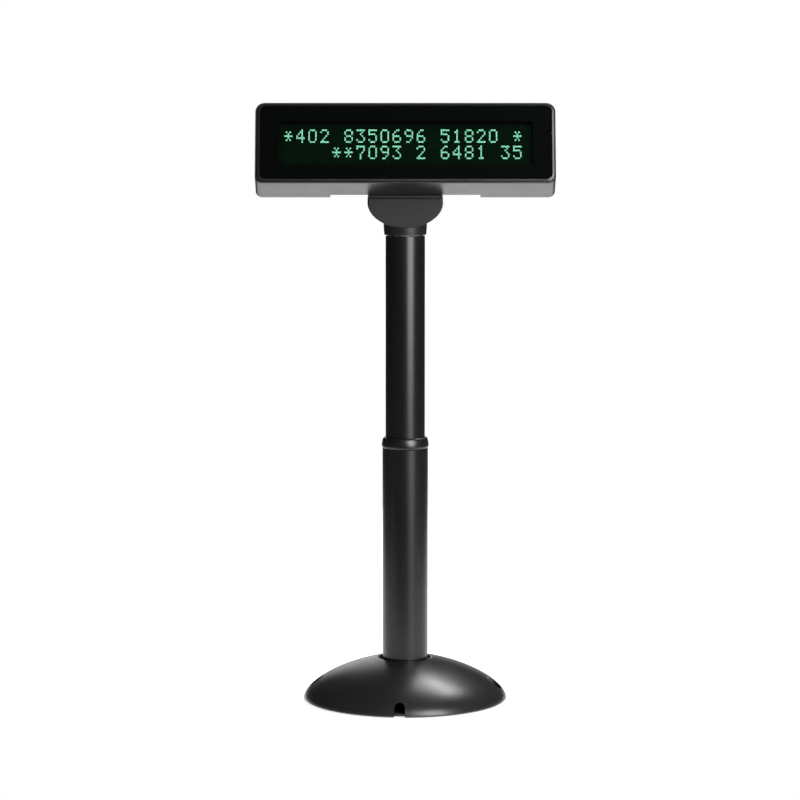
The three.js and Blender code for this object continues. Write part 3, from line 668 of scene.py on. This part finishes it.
def tongue_solid():
    axis = joint_mm("head_tilt")

    def outline_at(inset):
        radius = KNUCKLE - inset
        curve = arc((axis.y, axis.z), radius, 0, 180, 32)
        return curve + [(axis.y - radius, FAN_TOP - 4), (axis.y + radius, FAN_TOP - 4)]

    bm = bmesh.new()
    slab(bm, outline_at, -TONGUE_HALF, TONGUE_HALF, 0.8)
    bmesh.ops.transform(bm, matrix=SWAP_X_AND_Y, verts=bm.verts)
    bmesh.ops.reverse_faces(bm, faces=bm.faces)
    return solid_object("tongue", bm)


def build_neck():
    fillet = FAN_FILLET
    loops = []
    for i in range(6):
        angle = i / 5 * math.pi / 2
        inset = fillet * (1 - math.sin(angle))
        loops.append(at_depth(fan_outline(inset, LEDGE_TOP), FAN_FRONT + fillet * (1 - math.cos(angle))))
    loops.append(at_depth(fan_outline(0, LEDGE_TOP), LEDGE_BACK - 0.05))
    loops.append(at_depth(fan_outline(0, FAN_TOP - 0.6), LEDGE_BACK))
    loops.append(at_depth(fan_outline(0, FAN_TOP - 0.15), LEDGE_BACK + 0.2))
    loops.append(at_depth(fan_outline(0, FAN_TOP), LEDGE_BACK + 0.7))
    loops.append(at_depth(fan_outline(0, FAN_TOP), NECK_SPLIT - 0.3))
    loops.append(at_depth(fan_outline(0.3, FAN_TOP), NECK_SPLIT))
    bm = bmesh.new()
    add_loops(bm, loops)
    fan = solid_object("neck_fan", bm)

    low = COLLAR_LOW
    collar = lathe_object("collar", [
        (0, low), (13.0, low), (13.35, low + 0.12), (13.5, low + 0.5), (COLLAR_RADIUS, low + 7),
        (COLLAR_RADIUS, low + 8.4), (COLLAR_RADIUS - 0.6, low + 8.9), (0, low + 8.9),
    ])
    combine(fan, collar, "UNION")
    combine(fan, tongue_solid(), "UNION")
    bore = lathe_object("bore", [
        (0, low - 2), (9, low - 2), (9, low + 5), (6.3, low + 5), (6.3, low + 9), (0, low + 9),
    ])
    combine(fan, bore, "DIFFERENCE")
    finish_piece(fan, "neck", NECK_LOOK, ["neck_shell"])

    cover_low = NECK_BACK_LOW.z
    bm = bmesh.new()
    loops = [at_depth(fan_outline(0.3, FAN_TOP, cover_low), NECK_SPLIT + 0.3)]
    loops.append(at_depth(fan_outline(0, FAN_TOP, cover_low), NECK_SPLIT + 0.6))
    for i in range(6):
        angle = i / 5 * math.pi / 2
        inset = fillet * (1 - math.cos(angle))
        depth = FAN_BACK - fillet * (1 - math.sin(angle))
        loops.append(at_depth(fan_outline(inset, FAN_TOP, cover_low), depth))
    add_loops(bm, loops)
    cover = solid_object("neck_back", bm)
    for side in (1, -1):
        place = Matrix.Translation((side * NECK_SCREW.x, FAN_BACK, NECK_SCREW.z)) @ FACING_BACK
        well = [(0, -3.5), (2.8, -3.5), (2.8, -0.35), (3.15, 0.02), (3.15, 3), (0, 3)]
        combine(cover, lathe_object("well", well, 48, place), "DIFFERENCE")
    finish_piece(cover, "neck", NECK_LOOK, ["neck_rear_cover"])
    for i, side in enumerate((1, -1), start=1):
        place = Matrix.Translation((side * NECK_SCREW.x, FAN_BACK - 3.4, NECK_SCREW.z)) @ FACING_BACK
        add_screw(f"neck_fixing_{i}", "neck", f"neck_screw_{i}", place, 2.6, 1.8)


def add_screw(name, body, node, place, radius, height):
    """A pan head with a cross recess, its underside at level 0, above a plain shank."""
    crown = [(radius * math.cos(a), height * 0.35 + height * 0.65 * math.sin(a))
             for a in (i / 6 * math.pi / 2 for i in range(7))]
    shank = radius * 0.42
    profile = [(0, -4), (shank, -4), (shank, 0), (radius, 0), *crown[:-1], (0, height)]
    head = lathe_object(name, profile, 40)
    for turn in (0, math.pi / 2):
        bm = bmesh.new()
        bmesh.ops.create_cube(bm, size=1)
        bmesh.ops.scale(bm, vec=(radius * 1.15, radius * 0.24, height), verts=bm.verts)
        bmesh.ops.translate(bm, vec=(0, 0, height), verts=bm.verts)
        combine(head, solid_object("cross", bm, Matrix.Rotation(turn, 4, "Z")), "DIFFERENCE")
    head.data.transform(Matrix.Scale(1 / MM, 4))
    head.data.transform(to_world(place))
    finish_piece(head, body, LOOKS["steel"], [node])


# ---------------------------------------------------------------- head
def bezel_loop(share, drop, depth):
    """A loop between the window's edge (share 0) and the head's outline (share 1)."""
    low = WINDOW_LOW * (1 - share)
    high = WINDOW_HIGH + (HEAD_HEIGHT - WINDOW_HIGH) * share
    left = -WINDOW_HALF + WINDOW_SHIFT + (WINDOW_HALF - WINDOW_SHIFT - HEAD_HALF) * share
    right = WINDOW_HALF + WINDOW_SHIFT + (HEAD_HALF - WINDOW_HALF - WINDOW_SHIFT) * share
    corner = WINDOW_CORNER + (LOW_CORNER - WINDOW_CORNER) * share - 0.6 * drop
    top_corner = WINDOW_CORNER + (TOP_CORNER - WINDOW_CORNER) * share - 0.6 * drop
    outline = rounded_rectangle((right - left) / 2 - drop, (high - low) / 2 - drop, corner,
                                (right + left) / 2, (high + low) / 2, 10, top_corner)
    return at_depth(outline, depth)


def build_bezel():
    outer_edge = [
        (1.0, 0.0, PARTING), (1.0, 0.0, 1.2), (0.985, 0.0, 0.9), (0.95, 0.0, 0.68), (0.9, 0.0, 0.56),
    ]
    groove = [(0.86, 0.0, 0.62), (0.83, 0.0, 0.9), (0.81, 0.0, 1.45), (0.54, 0.0, 1.45), (0.52, 0.0, 0.9)]
    ridge = [(0.5, 0.0, 0.4), (0.47, 0.0, 0.27), (0.28, 0.0, 0.145), (0.09, 0.0, 0.02), (0.03, 0.0, 0.02)]
    seat = [(0.0, 0.0, 0.12), (0.0, 0.0, WINDOW_SEAT), (0.0, 3.2, WINDOW_SEAT), (0.0, 3.2, 6.0)]
    skirt = [(0.0, 0.3, 6.0), (0.0, 0.3, PARTING)]
    bm = bmesh.new()
    add_loops(bm, [bezel_loop(*step) for step in outer_edge + groove + ridge + seat + skirt], closed=True)
    bezel = solid_object("bezel_frame", bm, HEAD)
    finish_piece(bezel, "head", LOOKS["satin_plastic"], ["front_bezel"], angle=40)

    middle = (WINDOW_LOW + WINDOW_HIGH) / 2
    half = (WINDOW_HIGH - WINDOW_LOW) / 2
    bm = bmesh.new()
    plate(bm, WINDOW_HALF - 0.12, half - 0.12, WINDOW_CORNER - 0.1, middle, 0.25, 1.2, 0.12, WINDOW_SHIFT)
    window = solid_object("window_panel", bm, HEAD)
    finish_piece(window, "head", LOOKS["window"], ["filter_window"])


def build_housing():
    middle = HEAD_HEIGHT / 2
    front = PARTING + SEAM

    def loop(inset, depth):
        half = HEAD_HALF - inset + HEAD_FLARE * (depth - front) / (HEAD_DEPTH - front)
        corner = LOW_CORNER - 0.8 * inset
        top_corner = TOP_CORNER - 0.8 * inset
        return at_depth(rounded_rectangle(half, middle - inset, corner, 0, middle, 10, top_corner), depth)

    fillet = REAR_FILLET
    loops = [loop(0.25, front), loop(0.06, front + 0.08), loop(0, front + 0.3)]
    for i in range(7):
        angle = i / 6 * math.pi / 2
        loops.append(loop(fillet * (1 - math.cos(angle)), HEAD_DEPTH - fillet * (1 - math.sin(angle))))
    bm = bmesh.new()
    add_loops(bm, loops)
    shell = solid_object("head_shell", bm, HEAD)

    bm = bmesh.new()
    add_loops(bm, [loop(HEAD_WALL, front - 2), loop(HEAD_WALL, HEAD_DEPTH - HEAD_WALL)])
    inside = solid_object("inside", bm, HEAD)
    bm = bmesh.new()
    kept_top = RECESS_TOP + HEAD_WALL
    kept_half = RECESS_HALF + HEAD_WALL
    plate(bm, kept_half, (kept_top + 20) / 2, 1.6, (kept_top - 20) / 2, RECESS_FACE - HEAD_WALL, 60, 0.5)
    combine(inside, solid_object("recess_wall", bm, HEAD), "DIFFERENCE")
    combine(shell, inside, "DIFFERENCE")

    bm = bmesh.new()
    plate(bm, RECESS_HALF, (RECESS_TOP + 20) / 2, 1.6, (RECESS_TOP - 20) / 2, RECESS_FACE, 60, 0.5)
    combine(shell, solid_object("recess", bm, HEAD), "DIFFERENCE")
    for x in (-POST_X, POST_X):
        for level in POST_LEVELS:
            place = HEAD @ Matrix.Translation((x, HEAD_DEPTH, level)) @ FACING_BACK
            well = [(0, -20), (2.9, -20), (2.9, -0.4), (3.3, 0.02), (3.3, 3), (0, 3)]
            combine(shell, lathe_object("well", well, 48, place), "DIFFERENCE")
    for i in range(VENT_COUNT):
        bm = bmesh.new()
        x = (i - VENT_COUNT // 2) * VENT_PITCH
        plate(bm, VENT_HALF[0], VENT_HALF[1], 0.75, VENT_LEVEL, 26, 40, 0.02, x)
        combine(shell, solid_object("vent", bm, HEAD), "DIFFERENCE")
    bm = bmesh.new()
    plate(bm, 6.5, 3.5, 3.4, 7.5, 20, 40, 0.02)
    combine(shell, solid_object("cable_slot", bm, HEAD), "DIFFERENCE")
    finish_piece(shell, "head", LOOKS["satin_plastic"], ["rear_housing"])
    number = 0
    for x in (-POST_X, POST_X):
        for level in POST_LEVELS:
            number += 1
            place = HEAD @ Matrix.Translation((x, HOUSING_SCREW_SEAT, level)) @ FACING_BACK
            add_screw(f"housing_fixing_{number}", "head", f"housing_screw_{number}", place, 2.6, 2)


def build_window_mask():
    """A near-black sheet just behind the window that leaves only the display tube's field open."""
    middle = (WINDOW_LOW + WINDOW_HIGH) / 2
    outer = rounded_rectangle(WINDOW_HALF - 0.6, middle - WINDOW_LOW - 0.4, 3.2, WINDOW_SHIFT, middle)
    inner = rounded_rectangle(MASK_FIELD[0], MASK_FIELD[1], 0.6, MASK_MIDDLE[0], MASK_MIDDLE[1])
    front, back = MASK_DEPTHS
    loops = [at_depth(outer, front), at_depth(inner, front), at_depth(inner, back), at_depth(outer, back)]
    bm = bmesh.new()
    add_loops(bm, loops, closed=True)
    mask = solid_object("window_mask", bm, HEAD)
    finish_piece(mask, "head", MASK_LOOK, weighted=False)


def build_hinge():
    face = RECESS_FACE + 0.3
    bm = bmesh.new()
    plate(bm, 26, 12, 3, 25, face, face + 1.6, 0.3)
    bracket = solid_object("hinge_plate", bm, HEAD)

    def lug_outline(inset):
        radius = KNUCKLE - inset
        top = HINGE_HEIGHT + KNUCKLE + 5 - inset
        start = face + 0.6
        curve = arc((HINGE_DEPTH, HINGE_HEIGHT), radius, -90, 60, 28)
        return [(start, HINGE_HEIGHT - radius)] + curve + [(start, top)]

    for low in (10.7, -12.7):
        bm = bmesh.new()
        slab(bm, lug_outline, low, low + 2, 0.3)
        bmesh.ops.transform(bm, matrix=SWAP_X_AND_Y, verts=bm.verts)
        bmesh.ops.reverse_faces(bm, faces=bm.faces)
        combine(bracket, solid_object("lug", bm, HEAD), "UNION")
    finish_piece(bracket, "head", LOOKS["dark_steel"], ["hinge_bracket"])

    for i, side in enumerate((1, -1), start=1):
        seat = Matrix.Translation((side * BRACKET_SCREW[0], face + 1.75, BRACKET_SCREW[1]))
        add_screw(f"hinge_fixing_{i}", "head", f"hinge_screw_{i}", HEAD @ seat @ FACING_BACK, 3, 1.8)

    along = HEAD @ Matrix.Translation((0, HINGE_DEPTH, HINGE_HEIGHT)) @ Matrix.Rotation(math.pi / 2, 4, "Y")
    pin = lathe_object("hinge_pin", [
        (0, -15.2), (2.6, -15.2), (4.0, -14.7), (4.6, -13.9), (4.6, -13), (2.5, -13),
        (2.5, 18.6), (2.1, 19), (0, 19),
    ], 64, along)
    finish_piece(pin, "head", LOOKS["steel"], ["tilt_pin"])
    rings = {
        "friction_washer_left": (6, -10.5, -9.9, "nylon"),
        "friction_washer_right": (6, 9.9, 10.5, "nylon"),
        "spring_washer": (4.6, 12.9, 14.0, "steel"),
    }
    for node, (radius, low, high, slot) in rings.items():
        ring = lathe_object(f"{node}_fine", tube_profile(radius, 2.65, low, high, 0.12), 64, along)
        finish_piece(ring, "head", LOOKS[slot], [node])
    nut = lathe_object("nut_hexagon", [(0, 14.2), (5, 14.2), (5, 18.4), (0, 18.4)], 6, along)
    cone = [
        (0, 13.5), (4.0, 13.5), (4.35, 14.2), (5.0, 14.65), (5.0, 17.95), (4.35, 18.4), (4.0, 19), (0, 19),
    ]
    combine(nut, lathe_object("cone", cone, 64, along), "INTERSECT")
    combine(nut, lathe_object("thread", [(0, 13), (2.6, 13), (2.6, 20), (0, 20)], 64, along), "DIFFERENCE")
    finish_piece(nut, "head", LOOKS["steel"], ["tilt_nut"])


# ---------------------------------------------------------------- display
DOTS = {
    "0": ".###. #...# #...# #...# #...# #...# .###.",
    "1": "..#.. .##.. ..#.. ..#.. ..#.. ..#.. .###.",
    "2": ".###. #...# ....# ...#. ..#.. .#... #####",
    "3": "##### ...#. ..#.. ...#. ....# #...# .###.",
    "4": "...#. ..##. .#.#. #..#. ##### ...#. ...#.",
    "5": "##### #.... ####. ....# ....# #...# .###.",
    "6": "..##. .#... #.... ####. #...# #...# .###.",
    "7": "##### #...# ....# ...#. ..#.. ..#.. ..#..",
    "8": ".###. #...# #...# .###. #...# #...# .###.",
    "9": ".###. #...# #...# .#### ....# ...#. .##..",
    "*": "..... .#.#. ..#.. ##### ..#.. .#.#. .....",
    " ": "..... ..... ..... ..... ..... ..... .....",
}
ROWS = ("*402 8350696 51820 *", "    **7093 2 6481 35")
MASK_FIELD = (79.3, 14.2)
MASK_MIDDLE = (0.6, 25.9)
MASK_DEPTHS = (1.26, 1.4)
CELL_PITCH = 7.56
DOT_PITCH = (1.08, 1.27)
DOT_SIZE = (0.93, 1.04)
ROW_LEVELS = (32.35, 21.75)
FIRST_CELL = -73.4
DOT_DEPTH = 7.55
GRID_HALF = (78, 12)
GRID_BORDER = 0.8
GRID_WIRE = 0.06
GRID_DEPTHS = (6.3, 6.5)
DISPLAY_MIDDLE = 26.1


def build_display():
    bm = bmesh.new()
    for text, middle in zip(ROWS, ROW_LEVELS):
        for cell, character in enumerate(text):
            for line, bits in enumerate(DOTS[character].split()):
                for column, bit in enumerate(bits):
                    if bit != "#":
                        continue
                    x = FIRST_CELL + cell * CELL_PITCH + (column - 2) * DOT_PITCH[0]
                    z = middle + (3 - line) * DOT_PITCH[1]
                    outline = rounded_rectangle(DOT_SIZE[0] / 2, DOT_SIZE[1] / 2, 0.15, x, z, 1)
                    add_loops(bm, [at_depth(outline, DOT_DEPTH), at_depth(outline, DOT_DEPTH + 0.06)])
    dots = solid_object("lit_dots", bm, HEAD)
    finish_piece(dots, "head", LIT, weighted=False)


def build_grid():
    """The control grid: a frame with a fine wire between neighbouring characters."""
    front, back = GRID_DEPTHS
    half_x, half_z = GRID_HALF
    outer = rounded_rectangle(half_x, half_z, 0.5, 0, DISPLAY_MIDDLE, 3)
    inner = rounded_rectangle(half_x - GRID_BORDER, half_z - GRID_BORDER, 0.3, 0, DISPLAY_MIDDLE, 3)
    bm = bmesh.new()
    loops = [at_depth(outer, front), at_depth(inner, front), at_depth(inner, back), at_depth(outer, back)]
    add_loops(bm, loops, closed=True)
    for cell in range(1, len(ROWS[0])):
        x = FIRST_CELL + (cell - 0.5) * CELL_PITCH
        reach = half_z - GRID_BORDER / 2
        wire = rounded_rectangle(GRID_WIRE / 2, reach, GRID_WIRE / 4, x, DISPLAY_MIDDLE, 2)
        add_loops(bm, [at_depth(wire, front + 0.05), at_depth(wire, back - 0.05)])
    grid = solid_object("fine_grid", bm, HEAD)
    finish_piece(grid, "head", LOOKS["dark_steel"], ["vfd_grid"], weighted=False)


# ---------------------------------------------------------------- floor, light, camera
CAMERA_DISTANCE = 1973
CAMERA_PITCH = math.radians(5.9)
CAMERA_AIM = Vector((-3.35, 0, 194.9))
CAMERA_LENS = 138.3

FLOOR_FRONT = -250
FLOOR_BACK = 900
FLOOR_HALF = 480
FLOOR_GLOW = 0.86

# the world's bright patch behind the object, as the share of a direction that points back
PATCH_START = 0.955
PATCH_FULL = 0.99
STUDIO_DIM = 0.04
PATCH_STRENGTH = 0.6


def stage_material():
    """A matt white table with a glow of its own, so that it stays pale under soft light."""
    look = Look("floor_white", (0.8, 0.8, 0.8), 0.9)
    look.set("Specular IOR Level", 0.0)
    look.set("Emission Color", (1, 1, 1, 1))
    look.set("Emission Strength", FLOOR_GLOW)
    return look.vary_color(3, 0.01).material


def build_floor():
    bm = bmesh.new()
    left, right = -FLOOR_HALF, FLOOR_HALF
    corners = [(left, FLOOR_FRONT), (right, FLOOR_FRONT), (right, FLOOR_BACK), (left, FLOOR_BACK)]
    bm.faces.new([bm.verts.new((x, y, -0.05)) for x, y in corners])
    floor = solid_object("floor", bm)
    floor.data.materials.append(stage_material())


def area_light(name, place, target, size, power):
    lamp = bpy.data.lights.new(name, "AREA")
    lamp.shape = "RECTANGLE"
    lamp.size = size[0] * MM
    lamp.size_y = size[1] * MM
    lamp.energy = power
    holder = bpy.data.objects.new(name, lamp)
    holder.location = Vector(place) * MM
    aim = Vector(target) - Vector(place)
    holder.rotation_euler = aim.to_track_quat("-Z", "Y").to_euler()
    holder.visible_camera = False
    bpy.context.scene.collection.objects.link(holder)
    return holder


def build_light():
    area_light("side_softbox", (520, -865, 610), (0, 0, 450), (620, 900), 22)
    area_light("low_card", (560, -860, 10), (0, 0, 100), (420, 260), 0.55)
    area_light("top_softbox", (290, 450, 890), (0, 0, 20), (440, 250), 5.4)
    area_light("back_fill", (-150, 980, 420), (0, 0, 240), (260, 620), 0.7)


def build_world():
    """White to the camera. To the lights' bounces it is bright behind the object and dim in front."""
    world = bpy.data.worlds.new("studio")
    world.use_nodes = True
    bpy.context.scene.world = world
    tree = world.node_tree
    tree.nodes.clear()
    place = tree.nodes.new("ShaderNodeTexCoord")
    split = tree.nodes.new("ShaderNodeSeparateXYZ")
    ramp = tree.nodes.new("ShaderNodeMapRange")
    ramp.interpolation_type = "SMOOTHSTEP"
    ramp.inputs["From Min"].default_value = PATCH_START
    ramp.inputs["From Max"].default_value = PATCH_FULL
    ramp.inputs["To Min"].default_value = STUDIO_DIM
    ramp.inputs["To Max"].default_value = PATCH_STRENGTH
    studio = tree.nodes.new("ShaderNodeBackground")
    white = tree.nodes.new("ShaderNodeBackground")
    white.inputs["Strength"].default_value = 1.0
    path = tree.nodes.new("ShaderNodeLightPath")
    mix = tree.nodes.new("ShaderNodeMixShader")
    out = tree.nodes.new("ShaderNodeOutputWorld")
    tree.links.new(place.outputs["Generated"], split.inputs["Vector"])
    tree.links.new(split.outputs["Y"], ramp.inputs["Value"])
    tree.links.new(ramp.outputs["Result"], studio.inputs["Strength"])
    tree.links.new(path.outputs["Is Camera Ray"], mix.inputs["Fac"])
    tree.links.new(studio.outputs["Background"], mix.inputs[1])
    tree.links.new(white.outputs["Background"], mix.inputs[2])
    tree.links.new(mix.outputs["Shader"], out.inputs["Surface"])
    for background in (studio, white):
        background.inputs["Color"].default_value = (1, 1, 1, 1)


def build_camera():
    back = Vector((0, -math.cos(CAMERA_PITCH), math.sin(CAMERA_PITCH)))
    lens = bpy.data.cameras.new("camera")
    lens.lens = CAMERA_LENS
    lens.sensor_width = 36
    lens.clip_start = 0.05
    lens.clip_end = 50
    camera = bpy.data.objects.new("camera", lens)
    camera.location = (CAMERA_AIM + back * CAMERA_DISTANCE) * MM
    camera.rotation_euler = (math.pi / 2 - CAMERA_PITCH, 0, 0)
    bpy.context.scene.collection.objects.link(camera)
    bpy.context.scene.camera = camera


# ---------------------------------------------------------------- the scene
scene = bpy.context.scene
scene.view_settings.view_transform = "Standard"
scene.view_settings.look = "None"

dress_frame()
build_camera()
build_base()
build_mast()
build_neck()
build_bezel()
build_window_mask()
build_housing()
build_hinge()
build_display()
build_grid()
build_floor()
build_light()
build_world()
